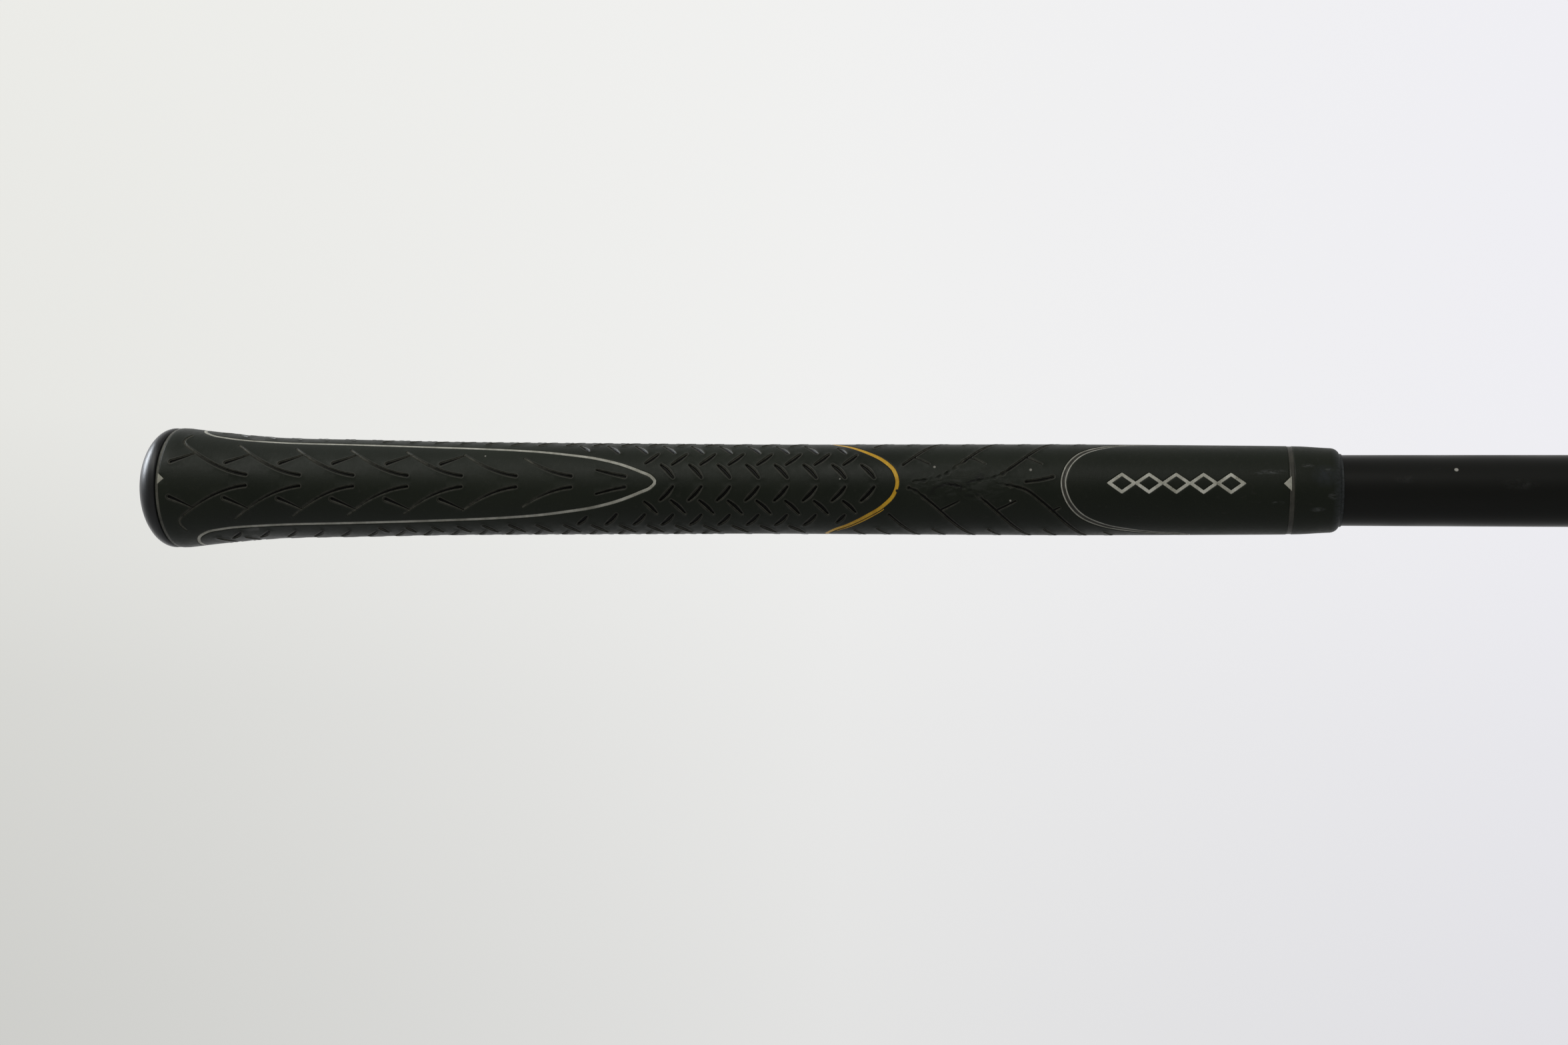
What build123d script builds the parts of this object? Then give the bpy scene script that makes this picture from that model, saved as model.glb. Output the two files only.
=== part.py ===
from build123d import *
import math
import os

# Golf grip on the butt section of its shaft. Millimetres. +X runs along the shaft away from the butt, -Y is
# the face with the alignment marks, +Z is up. The origin is the centre of the shaft's free end.

# Driving dimensions
grip_length = 270.65  # butt of the cap to the mouth of the sleeve
exposed_shaft = 75.0  # bare shaft beyond the mouth
shaft_radius = 7.62  # 0.600 inch butt section
shaft_wall = 0.52
tape_thickness = 0.15
tape_setback = 2.0  # the tape stops short of the mouth
cap_length = 7.45  # butt to the seam with the sleeve
cap_end_wall = 4.5  # cap rubber between the butt and the end of the shaft
cap_radius = 13.85  # cap and sleeve where they meet, before their edges are chamfered
dome_depth = 6.75  # half axes of the dome's ellipse
dome_radius = 13.9
vent_radius = 1.6
vent_sink_radius = 2.7
vent_sink_depth = 1.0
rib_inner_radius = 9.8  # bonding rib of the cap, seated in a groove of the sleeve
rib_outer_radius = 11.2
rib_length = 1.7
seam_chamfer = 0.2
mouth_radius = 8.98  # before its edge is rounded
mouth_rounding = 0.9
paint_depth = 0.3  # moulded recesses that the paint fills
mark_sink = 0.08  # the triangular marks are this much deeper than their rings
cutter_proud = 0.25  # how far the recess cutters stand above the surface
upper_width = 0.66
gold_width = 0.8
lower_width = 1.2

shaft_bore_radius = shaft_radius - shaft_wall
sleeve_bore_radius = shaft_radius + tape_thickness
butt = -(grip_length + exposed_shaft)  # x of the butt end
mouth = -exposed_shaft  # x of the sleeve's mouth
seam = butt + cap_length
shaft_end = butt + cap_end_wall + tape_thickness  # x of the shaft's end inside the cap

# Outer radius of the sleeve by distance from the butt: flared at the cap, slim towards the mouth
flare_profile = [
    (cap_length + seam_chamfer, cap_radius),
    (9.2, 13.92),
    (11.6, 13.68),
    (14.2, 13.36),
    (17.6, 12.97),
    (22.6, 12.42),
    (29.6, 11.83),
    (37.6, 11.46),
    (49.6, 11.22),
    (74.6, 10.64),
    (102.6, 10.33),
    (153.6, 9.96),
    (202.6, 9.96),
    (247.6, 9.66),
    (261.6, 9.47),
    (267.2, 9.14),
]

# A quarter of each painted outline, from the front centre line round to the side line, as
# (distance from the butt, degrees from the front). The other quarters mirror it.
upper_outline = [
    (122.8, 0),
    (121.4, 8.5),
    (116.6, 19.8),
    (108.5, 32.6),
    (97, 42.8),
    (84, 49),
    (70, 52.2),
    (50, 54.2),
    (31, 56),
    (21.3, 57.6),
    (17.3, 61),
    (14.95, 69),
    (14.15, 79),
    (14.05, 90),
]
gold_outline = [
    (176.35, 0),
    (175.6, 15),
    (173.2, 30),
    (169.4, 45),
    (165.4, 60),
    (161.5, 75),
    (159.9, 90),
]
lower_outline = [
    (212, 0),
    (212.7, 18),
    (215.1, 39),
    (220.4, 59.3),
    (226.4, 71.2),
    (232.2, 79.5),
    (237.2, 85.2),
    (238.7, 90),
]

# Rings, alignment marks and emblem, by distance from the butt
cap_ring = (7.75, 8.45)
cap_mark_tip = 9.8
cap_mark_half_height = 1.5
mouth_ring = (259.25, 260.05)
mouth_mark_tip = 257.95
mouth_mark_half_height = 1.7
emblem_centre = 235.75
lozenge_count = 5
lozenge_pitch = 5.7
lozenge_length = 6.6
lozenge_height = 4.8
lozenge_line = 0.75


def sleeve_radius(distance):
    """Outer radius of the sleeve at a distance from the butt."""
    for (s_low, r_low), (s_high, r_high) in zip(flare_profile, flare_profile[1:]):
        if distance <= s_high:
            break
    return r_low + (r_high - r_low) * (distance - s_low) / (s_high - s_low)


def on_sleeve(distance, angle, sink):
    """The point at an angle from the front, sunk below the sleeve's surface."""
    radius = sleeve_radius(distance) - sink
    turn = math.radians(angle)
    return (butt + distance, -radius * math.cos(turn), radius * math.sin(turn))


def full_turn(quarter):
    """A quarter outline mirrored about the side line and then the front centre line."""
    half = quarter + [(s, 180 - a) for s, a in reversed(quarter[:-1])]
    return half + [(s, 360 - a) for s, a in reversed(half[1:-1])]


def band_loop(quarter, shift, sink):
    """A closed curve round the sleeve beside an outline, shifted sideways and sunk."""
    route = full_turn(quarter)
    count = len(route)
    places = []
    for i, (s, angle) in enumerate(route):
        s_last, angle_last = route[i - 1]
        s_next, angle_next = route[(i + 1) % count]
        radius = sleeve_radius(s)
        along = s_next - s_last
        around = radius * math.radians((angle_next - angle_last) % 360)
        length = math.hypot(along, around)
        s_shifted = s - shift * around / length
        angle_shifted = angle + math.degrees(shift * along / length / radius)
        places.append(Vector(*on_sleeve(s_shifted, angle_shifted, sink)))
    steps = [i / count for i in range(count + 1)]
    return Edge.make_spline(places, parameters=steps, periodic=True)


def outline_band(quarter, width):
    """A closed ribbon that follows an outline round the sleeve, from below its surface to above it."""
    half = width / 2
    corners = [(-half, -cutter_proud), (half, -cutter_proud), (half, paint_depth), (-half, paint_depth)]
    loops = [band_loop(quarter, shift, sink) for shift, sink in corners]
    faces = [Face.make_surface_from_curves(loops[i - 1], loops[i]) for i in range(4)]
    return Solid(Shell(faces))


def export(builder, name):
    builder.part.label = name
    export_step(builder.part, f"parts/{name}.step")


os.makedirs("parts", exist_ok=True)

# Shaft: a steel tube from inside the cap to its free end
with BuildPart() as shaft_butt_section:
    with BuildSketch(Plane.YZ.offset(shaft_end)):
        Circle(shaft_radius)
        Circle(shaft_bore_radius, mode=Mode.SUBTRACT)
    extrude(amount=-shaft_end)

# Tape: wrapped round the shaft under the whole sleeve, and folded over the shaft's butt end
with BuildPart() as grip_tape:
    with BuildSketch(Plane.XY):
        with BuildLine():
            Polyline(
                (shaft_end - tape_thickness, shaft_bore_radius),
                (shaft_end - tape_thickness, sleeve_bore_radius),
                (mouth - tape_setback, sleeve_bore_radius),
                (mouth - tape_setback, shaft_radius),
                (shaft_end, shaft_radius),
                (shaft_end, shaft_bore_radius),
                close=True,
            )
        make_face()
    revolve(axis=Axis.X)

# Cap: a domed end with a countersunk vent, a chamfered edge at the seam and a bonding rib
dome_sweep = 90 - math.degrees(math.asin(vent_sink_radius / dome_radius))
with BuildPart() as butt_cap:
    with BuildSketch(Plane.XY):
        with BuildLine():
            dome = EllipticalCenterArc((butt + dome_depth, 0), dome_depth, dome_radius, 90, arc_size=dome_sweep)
            Polyline(
                dome @ 0,
                (seam - seam_chamfer, cap_radius),
                (seam, cap_radius - seam_chamfer),
                (seam, rib_outer_radius),
                (seam + rib_length, rib_outer_radius),
                (seam + rib_length, rib_inner_radius),
                (seam, rib_inner_radius),
                (seam, sleeve_bore_radius),
                (butt + cap_end_wall, sleeve_bore_radius),
                (butt + cap_end_wall, vent_radius),
                (butt + vent_sink_depth, vent_radius),
                dome @ 1,
            )
        make_face()
    revolve(axis=Axis.X)

# Sleeve before its recesses: one turned body with the flare, the bore and the groove for the cap's rib
with BuildPart() as sleeve_blank:
    with BuildSketch(Plane.XY):
        with BuildLine():
            flare = Polyline(*[(butt + s, r) for s, r in flare_profile])
            Polyline(
                flare @ 1,
                (mouth, mouth_radius),
                (mouth, sleeve_bore_radius),
                (seam, sleeve_bore_radius),
                (seam, rib_inner_radius),
                (seam + rib_length, rib_inner_radius),
                (seam + rib_length, rib_outer_radius),
                (seam, rib_outer_radius),
                (seam, cap_radius - seam_chamfer),
                flare @ 0,
            )
        make_face()
        fillet(vertices().sort_by_distance((mouth, mouth_radius))[0], mouth_rounding)
    revolve(axis=Axis.X)


def ring_and_mark(ring, mark_tip, half_height):
    """Cutter for a painted ring with a triangular mark on the front centre line."""
    start, end = ring
    middle = (start + end) / 2
    floor_radius = sleeve_radius(middle) - paint_depth
    with BuildPart() as cutter:
        with BuildSketch(Plane.XZ):
            with Locations((butt + middle, floor_radius + 0.5)):
                Rectangle(end - start, 1)
        revolve(axis=Axis.X)
        with BuildSketch(Plane.XZ.offset(floor_radius - mark_sink)):
            with BuildLine():
                Polyline(
                    (butt + middle, half_height),
                    (butt + mark_tip, 0),
                    (butt + middle, -half_height),
                    close=True,
                )
            make_face()
        extrude(amount=1)
    return cutter.part


def lozenge_corners(length, height):
    return [(-length / 2, 0), (0, -height / 2), (length / 2, 0), (0, height / 2)]


def lozenge_chain():
    """Cutter for the emblem: a chain of outlined lozenges along the front centre line."""
    surface = sleeve_radius(emblem_centre)
    chain_length = lozenge_pitch * (lozenge_count + 1)
    inner_length = lozenge_length - 2 * lozenge_line
    inner_height = inner_length * lozenge_height / lozenge_length
    with BuildPart() as cutter:
        with BuildSketch(Plane.XZ.offset(surface / 2)):
            with Locations((butt + emblem_centre, 0)):
                with GridLocations(lozenge_pitch, 1, lozenge_count, 1):
                    Polygon(*lozenge_corners(lozenge_length, lozenge_height), align=None)
                with GridLocations(lozenge_pitch, 1, lozenge_count, 1):
                    Polygon(*lozenge_corners(inner_length, inner_height), align=None, mode=Mode.SUBTRACT)
        extrude(amount=surface)
        with BuildSketch(Plane.YZ.offset(butt + emblem_centre - chain_length / 2)):
            Circle(surface - paint_depth)
        extrude(amount=chain_length, mode=Mode.SUBTRACT)
    return cutter.part


recesses = {
    "cap_ring_paint": ring_and_mark(cap_ring, cap_mark_tip, cap_mark_half_height),
    "upper_outline_paint": outline_band(upper_outline, upper_width),
    "gold_outline_paint": outline_band(gold_outline, gold_width),
    "lower_outline_paint": outline_band(lower_outline, lower_width),
    "emblem_paint": lozenge_chain(),
    "mouth_ring_paint": ring_and_mark(mouth_ring, mouth_mark_tip, mouth_mark_half_height),
}

# Sleeve: the blank with every recess cut
with BuildPart() as grip_sleeve:
    add(sleeve_blank.part)
    for cutter in recesses.values():
        add(cutter, mode=Mode.SUBTRACT)

# Paint: what fills each recess, flush with the sleeve
for name, cutter in recesses.items():
    with BuildPart() as paint:
        add(sleeve_blank.part)
        add(cutter, mode=Mode.INTERSECT)
    export(paint, name)

export(shaft_butt_section, "shaft_butt_section")
export(grip_tape, "grip_tape")
export(butt_cap, "butt_cap")
export(grip_sleeve, "grip_sleeve")
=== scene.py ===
import math

import bpy
import numpy as np
from mathutils import Matrix, Vector
from mathutils.geometry import delaunay_2d_cdt


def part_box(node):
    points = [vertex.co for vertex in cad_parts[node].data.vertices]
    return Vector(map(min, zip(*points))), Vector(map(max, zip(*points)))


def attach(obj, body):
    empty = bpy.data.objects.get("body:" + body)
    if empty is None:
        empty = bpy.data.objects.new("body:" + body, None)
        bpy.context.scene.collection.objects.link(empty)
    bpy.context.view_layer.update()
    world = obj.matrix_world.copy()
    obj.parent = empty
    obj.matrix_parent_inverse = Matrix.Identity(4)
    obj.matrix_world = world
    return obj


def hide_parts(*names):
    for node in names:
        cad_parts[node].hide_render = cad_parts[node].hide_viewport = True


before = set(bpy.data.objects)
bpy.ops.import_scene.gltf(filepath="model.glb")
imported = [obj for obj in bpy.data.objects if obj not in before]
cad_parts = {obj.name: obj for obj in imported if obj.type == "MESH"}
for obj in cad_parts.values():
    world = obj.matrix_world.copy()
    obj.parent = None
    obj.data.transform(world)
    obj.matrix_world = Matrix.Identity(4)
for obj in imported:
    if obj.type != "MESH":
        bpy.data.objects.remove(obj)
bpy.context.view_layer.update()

# The pattern is laid out in millimetres on the unrolled sleeve: s is the distance from the butt, w the arc
# from the front centre line, up positive. Meshes are in metres, in the frame of the CAD model.

MM = 0.001
SEAM = 7.45
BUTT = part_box("grip_sleeve")[0].x / MM - SEAM
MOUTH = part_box("grip_sleeve")[1].x / MM - BUTT
SHAFT_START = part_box("shaft_butt_section")[0].x / MM - BUTT
SHAFT_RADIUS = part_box("shaft_butt_section")[1].z / MM
BORE_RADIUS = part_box("grip_tape")[1].z / MM

CAP_RADIUS = 13.85
SEAM_CHAMFER = 0.2
SEAM_DEPTH = 0.5  # how far the edges at the seam fall away
MOUTH_ROUNDING = 1.15
MOUTH_RUN = 1.7  # length of the rounding
MOUTH_LIP = 0.5  # thin lip beyond the rounding
RIB_INNER, RIB_OUTER, RIB_LENGTH = 9.8, 11.2, 1.7
MIDDLE = Vector(((BUTT + 150) * MM, 0, 0))  # about the middle of the view

# Outer radius of the sleeve by distance from the butt
FLARE = [
    (7.65, 13.85), (9.2, 13.92), (11.6, 13.68), (14.2, 13.36), (17.6, 12.97), (22.6, 12.42), (29.6, 11.83),
    (37.6, 11.46), (49.6, 11.22), (74.6, 10.64), (102.6, 10.33), (153.6, 9.96), (202.6, 9.96), (247.6, 9.66),
    (261.6, 9.47), (267.2, 9.14), (270.65, 8.98),
]

# A quarter of each painted outline: distance from the butt, degrees from the front
UPPER_OUTLINE = [
    (122.8, 0), (121.9, 6.5), (119.4, 13.2), (114.9, 23.1), (108.7, 32.6), (102, 39), (96, 43.7),
    (90, 46.8), (84, 49), (70, 52.2), (50, 54.2), (31, 56), (21.3, 57.6), (17.3, 61), (14.95, 69),
    (14.15, 79), (14.05, 90),
]
GOLD_OUTLINE = [(176.35, 0), (175.6, 15), (173.2, 30), (169.4, 45), (165.4, 60), (161.5, 75), (159.9, 90)]
LOWER_OUTLINE = [
    (212, 0), (212.7, 18), (215.1, 39), (220.4, 59.3), (226.4, 71.2), (232.2, 79.5), (237.2, 85.2),
    (238.7, 90),
]


# ---- curves on the unrolled sleeve ----

ARC_SCALE = 10  # millimetres for one radian while an outline is drawn, about the sleeve's radius
FRONT_REACH = 96  # lines on the front half run this many degrees round, a little past the side lines


def monotone_cubic(xs, ys):
    """Smooth interpolation through points, without overshoot."""
    xs, ys = np.array(xs, float), np.array(ys, float)
    steps = np.diff(xs)
    slopes = np.diff(ys) / steps
    tangents = np.zeros(len(xs))
    same_way = slopes[:-1] * slopes[1:] > 0
    harmonic = 2 * slopes[:-1] * slopes[1:] / np.where(same_way, slopes[:-1] + slopes[1:], 1)
    tangents[1:-1] = np.where(same_way, harmonic, 0)
    tangents[0], tangents[-1] = slopes[0], slopes[-1]

    def value(x):
        x = np.asarray(x, float)
        i = np.clip(np.searchsorted(xs, x) - 1, 0, len(steps) - 1)
        t = np.clip((x - xs[i]) / steps[i], 0, 1)
        rise = ys[i + 1] - ys[i]
        a, b = steps[i] * tangents[i], steps[i] * tangents[i + 1]
        return ys[i] + t * a + t * t * (3 * rise - 2 * a - b) + t ** 3 * (a + b - 2 * rise)

    return value


flare = monotone_cubic(*zip(*FLARE))


def sleeve_radius(s):
    """Outer radius of the sleeve, with the chamfer at the seam and the rounded mouth."""
    s = np.asarray(s, float)
    radius = flare(s) - SEAM_DEPTH * np.clip((SEAM - s) / SEAM_CHAMFER + 1, 0, 1) ** 1.5
    into = np.clip((s - MOUTH + MOUTH_LIP) / MOUTH_RUN + 1, 0, 1)
    return radius - MOUTH_ROUNDING * (0.85 * (1 - np.sqrt(1 - into ** 2)) + 0.15 * into ** 1.7)


def resample(points, step):
    """A smooth curve through points, with even steps."""
    points = np.array(points, float)
    padded = np.vstack([2 * points[0] - points[1], points, 2 * points[-1] - points[-2]])
    fine = []
    for p0, p1, p2, p3 in zip(padded, padded[1:], padded[2:], padded[3:]):
        scale = np.linalg.norm(p2 - p1)
        before, after = np.linalg.norm(p1 - p0), np.linalg.norm(p3 - p2)
        m1 = scale * ((p1 - p0) / before * scale + (p2 - p1) / scale * before) / (before + scale)
        m2 = scale * ((p2 - p1) / scale * after + (p3 - p2) / after * scale) / (after + scale)
        t = np.linspace(0, 1, 24, endpoint=False)[:, None]
        fine.append(
            (2 * t ** 3 - 3 * t ** 2 + 1) * p1 + (t ** 3 - 2 * t ** 2 + t) * m1
            + (3 * t ** 2 - 2 * t ** 3) * p2 + (t ** 3 - t ** 2) * m2
        )
    fine = np.vstack(fine + [points[-1:]])
    along = np.concatenate([[0], np.cumsum(np.linalg.norm(np.diff(fine, axis=0), axis=1))])
    count = max(2, round(along[-1] / step))
    at = np.linspace(0, along[-1], count + 1)
    return np.column_stack([np.interp(at, along, fine[:, i]) for i in (0, 1)])


def normals(line):
    """Unit normals of a line, to the left of its direction."""
    along = np.gradient(line, axis=0)
    along /= np.linalg.norm(along, axis=1)[:, None]
    return np.column_stack([-along[:, 1], along[:, 0]])


def outline_loop(quarter, step):
    """The centre line of an outline all round the sleeve, as distance from the butt and angle."""
    half = quarter + [(s, 180 - a) for s, a in reversed(quarter[:-1])]
    turn = half + [(s, 360 - a) for s, a in reversed(half[1:-1])]
    three_turns = [(s, math.radians(a + 360 * k) * ARC_SCALE) for k in (-1, 0, 1) for s, a in turn]
    line = resample(three_turns, step)
    angle = line[:, 1] / ARC_SCALE
    keep = (angle >= 0) & (angle < math.tau - 0.5 * step / ARC_SCALE)
    return line[keep, 0], angle[keep]


def beside(s, angle, offset):
    """A closed line round the sleeve, shifted sideways. A positive offset is towards the butt."""
    turned = np.unwrap(angle)
    radius = sleeve_radius(s)
    ds = np.roll(s, -1) - np.roll(s, 1)
    dangle = np.roll(turned, -1) - np.roll(turned, 1)
    dangle = np.where(dangle < 0, dangle + math.tau, dangle)
    length = np.hypot(ds, radius * dangle)
    return s - offset * radius * dangle / length, turned + offset * ds / length / radius


def front_part(s, angle):
    """The stretch of a closed line that lies on the front half."""
    angle = (angle + math.pi) % math.tau - math.pi
    order = np.argsort(angle)
    s, angle = s[order], angle[order]
    keep = np.abs(angle) < math.radians(FRONT_REACH)
    return np.column_stack([s[keep], angle[keep] * sleeve_radius(s[keep])])


# ---- what is cut into the front half of the sleeve ----

def near(points, line, margin):
    """Which points lie in a line's box, widened by a margin."""
    low, high = line.min(axis=0) - margin, line.max(axis=0) + margin
    return np.flatnonzero(((points > low) & (points < high)).all(axis=1))


def closest(points, line):
    """Distance from each point to a line, and the place along it as a fractional index."""
    start, along = line[:-1], np.diff(line, axis=0)
    to_point = points[:, None, :] - start
    t = np.clip((to_point * along).sum(-1) / (along ** 2).sum(-1), 0, 1)
    away = np.linalg.norm(to_point - t[..., None] * along, axis=-1)
    best = away.argmin(axis=1)
    rows = np.arange(len(points))
    return away[rows, best], best + t[rows, best]


class Stroke:
    """A groove along a line, with its half width and depth at each point.

    levels gives the share of the depth that is left at multiples of the half width. It has a raised lip."""

    levels = [(0, 1), (0.5, 0.85), (0.9, 0.05), (1.25, -0.12), (1.85, 0)]
    clear_of_grid = 2.0

    def __init__(self, line, half_width, depth):
        self.line = line
        self.half = np.broadcast_to(half_width, len(line)).astype(float)
        self.depth = np.broadcast_to(depth, len(line)).astype(float)

    def contour(self, level):
        side = normals(self.line)
        reach = (self.half * level)[:, None]
        caps = []
        for point, out, radius in (
            (self.line[-1], side[-1], reach[-1]), (self.line[0], -side[0], reach[0]),
        ):
            forward = np.array([out[1], -out[0]])
            turn = np.radians(np.linspace(0, 180, 7)[1:-1])[:, None]
            caps.append(point + radius * (np.cos(turn) * out + np.sin(turn) * forward))
        left, right = self.line + reach * side, (self.line - reach * side)[::-1]
        return np.vstack([left, caps[0], right, caps[1]])

    def loops(self):
        """The lines that the mesh follows, each with whether it is closed."""
        return [(self.line, False)] + [(self.contour(level), True) for level, _ in self.levels[1:]]

    def sink(self, points):
        """Indices of the points near the groove, their depth, and their distance in half widths."""
        found = near(points, self.line, 2 * self.half.max())
        away, place = closest(points[found], self.line)
        index = np.arange(len(self.line))
        reach = away / np.interp(place, index, self.half)
        share = np.interp(reach, *zip(*self.levels))
        return found, share * np.interp(place, index, self.depth), reach / self.clear_of_grid


class Band:
    """A recess of even width that follows a line. lines maps a sideways offset to that line."""

    def __init__(self, lines, half_width, depth, closed=False):
        wall = 0.06
        self.lines = lines
        self.closed = closed
        self.depth = depth
        self.half = half_width
        self.levels = [(0, 1), (half_width - wall, 1), (half_width, 0.12), (half_width + wall, 0)]

    def loops(self):
        offsets = [level for level, _ in self.levels[1:]] + [self.half + 0.3]
        return [(self.lines(side * offset), self.closed) for offset in offsets for side in (-1, 1)]

    def sink(self, points):
        centre = self.lines(0)
        if self.closed:
            centre = np.vstack([centre, centre[:1]])
        found = near(points, centre, self.half + 1)
        away, _ = closest(points[found], centre)
        return found, self.depth * np.interp(away, *zip(*self.levels)), away / (self.half + 0.6)


class Patch:
    """A recess with straight sides, given as a convex polygon in anticlockwise order."""

    def __init__(self, corners, depth):
        self.corners = np.array(corners, float)
        self.depth = depth
        self.levels = [(-0.12, 1), (-0.06, 0.6), (0, 0.1), (0.06, 0)]

    def outward(self):
        """Unit normals of the sides."""
        along = np.roll(self.corners, -1, axis=0) - self.corners
        out = np.column_stack([along[:, 1], -along[:, 0]])
        return out / np.linalg.norm(out, axis=1)[:, None]

    def grown(self, offset):
        """The polygon with every side moved outwards."""
        out = self.outward()
        before = np.roll(out, 1, axis=0)
        mitre = (out + before) / (1 + (out * before).sum(axis=1))[:, None]
        return self.corners + offset * mitre

    def loops(self):
        return [(self.grown(offset), True) for offset, _ in self.levels]

    def sink(self, points):
        found = near(points, self.corners, 1.0)
        from_corners = points[found][:, None, :] - self.corners
        beyond = (from_corners * self.outward()).sum(axis=-1).max(axis=1)
        return found, self.depth * np.interp(beyond, *zip(*self.levels)), 1 + beyond


# ---- where the tread and the recesses are ----

LINE_STEP = 0.45
SIDE_GAP = 0.3
OUTLINE_GAP = 2.3
SEAM_GAP = 2.6
WIDTHS = {"upper": 0.74, "gold": 0.88, "lower": 1.25}
RECESS_DEPTH = 0.3
QUARTERS = {"upper": UPPER_OUTLINE, "gold": GOLD_OUTLINE, "lower": LOWER_OUTLINE}
OUTLINES = {name: outline_loop(quarter, LINE_STEP) for name, quarter in QUARTERS.items()}
OUTLINE_LINES = {name: front_part(*loop) for name, loop in OUTLINES.items()}

CAP_RING, CAP_MARK_TIP, CAP_MARK_HALF = (7.75, 8.45), 9.8, 1.5
MOUTH_RING, MOUTH_MARK_TIP, MOUTH_MARK_HALF = (259.25, 260.35), 257.95, 1.85
EMBLEM_CENTRE, LOZENGE_COUNT, LOZENGE_PITCH = 235.75, 5, 5.7
LOZENGE_HALF = np.array([3.3, 2.4])
LOZENGE_LINE = 0.75


def zone(points):
    """Which panel each point lies in: 0 the upper tongue, 1 the slits, 2 the long slits, 3 the emblem."""
    s, angle = points[:, 0], np.degrees(np.abs(points[:, 1] / sleeve_radius(points[:, 0])))
    panel = np.zeros(len(points), int)
    for quarter in QUARTERS.values():
        edge_s, edge_angle = zip(*quarter)
        panel += s > np.interp(angle, edge_angle, edge_s)
    return panel


def clipped(line, panel, gap=OUTLINE_GAP, shortest=1.0):
    """The longest stretch of a line that lies in a panel, clear of its outlines and of the side lines."""
    away = np.min([closest(line, edge)[0] for edge in OUTLINE_LINES.values()], axis=0)
    side = sleeve_radius(line[:, 0]) * math.pi / 2 - np.abs(line[:, 1])
    good = (zone(line) == panel) & (away > gap) & (side > SIDE_GAP) & (line[:, 0] > SEAM + SEAM_GAP)
    runs = np.split(np.flatnonzero(good), np.flatnonzero(np.diff(np.flatnonzero(good)) > 1) + 1)
    longest = max(runs, key=len)
    if len(longest) < 2 or (len(longest) - 1) * LINE_STEP < shortest:
        return None
    return line[longest]


def taper(count, start, end, power=1.0):
    """Values from start to end, one for each point of a line."""
    return start + (end - start) * np.linspace(0, 1, count) ** power


def both_sides(line):
    """A line above the front centre line, and its mirror image below."""
    return [line, line * (1, -1)]


def tongue_strokes():
    """Seven pairs of long slits that sweep back from the centre, with short branches between them."""
    strokes = []
    first_tip, pitch = 28.4, 12.56
    back = np.linspace(0, 19, 12)
    for k in range(7):
        tip = first_tip + pitch * k
        sweep = np.column_stack([tip - back, 1.25 + 0.13 * back + 0.0245 * back ** 2])
        if k == 0:
            sweep = np.vstack([sweep[back < 15.6], [(12.35, 10), (12.25, 10.8), (12.6, 11.8), (13.2, 12.9)]])
        line = clipped(resample(sweep, LINE_STEP), 0)
        for side in both_sides(line):
            strokes.append(Stroke(side, taper(len(side), 0.38, 0.27), taper(len(side), 0.62, 0.16, 0.8)))
        if k < 6:
            branch = clipped(resample([(tip - 12.4, 6.6), (tip - 15, 5.3), (tip - 17.6, 4.15)], LINE_STEP), 0)
            for side in both_sides(branch):
                strokes.append(Stroke(side, taper(len(side), 0.24, 0.46), taper(len(side), 0.34, 0.62)))
    last = resample([(109.45, 2.75), (112.65, 1.9), (115.95, 1.2)], LINE_STEP)
    for side in both_sides(last):
        strokes.append(Stroke(side, taper(len(side), 0.26, 0.4), 0.5))
    return strokes


def slit_strokes():
    """Rows of short slits that slope to and fro, like a herringbone."""
    strokes = []
    length, bow = np.array([2.9, 3.1]), 0.077
    middle, pitch = 125.35, 6.36
    rows = [(2.55, -1, 0), (5.7, 1, 2.45), (9.1, -1, -0.3), (12.5, 1, 2.85), (15.2, -1, 0.3), (17.9, 1, 3.3)]
    for centre_w, slope, shift in rows:
        for k in range(-18, 9):
            centre = np.array([middle + pitch * k + shift, centre_w])
            half = length / 2 * (1, slope)
            bulge = np.array([half[1], -half[0]]) * bow * slope
            line = resample([centre - half, centre + bulge, centre + half], LINE_STEP)
            line = clipped(line, 1, gap=1.9, shortest=2.2)
            if line is None:
                continue
            width = 0.26 + 0.22 * np.sin(np.linspace(0.25, math.pi - 0.25, len(line)))
            for side in both_sides(line):
                strokes.append(Stroke(side, width, 0.6))
    return strokes


def unworn(line):
    """Share of its depth that a groove keeps, point by point, where hands have rubbed the panel flat."""
    s, w = line.T
    rubbed = np.clip(1.5 - ((s - 190) / 10.2) ** 2 - ((w - 0.4) / 4.2) ** 2, 0, 1)
    mottle = 0.5 + 0.5 * np.sin(2.9 * s + 1.1 * w) * np.cos(1.3 * s - 2.1 * w)
    return 1 - rubbed * np.clip(0.3 + 1.1 * mottle, 0, 1)


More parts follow.
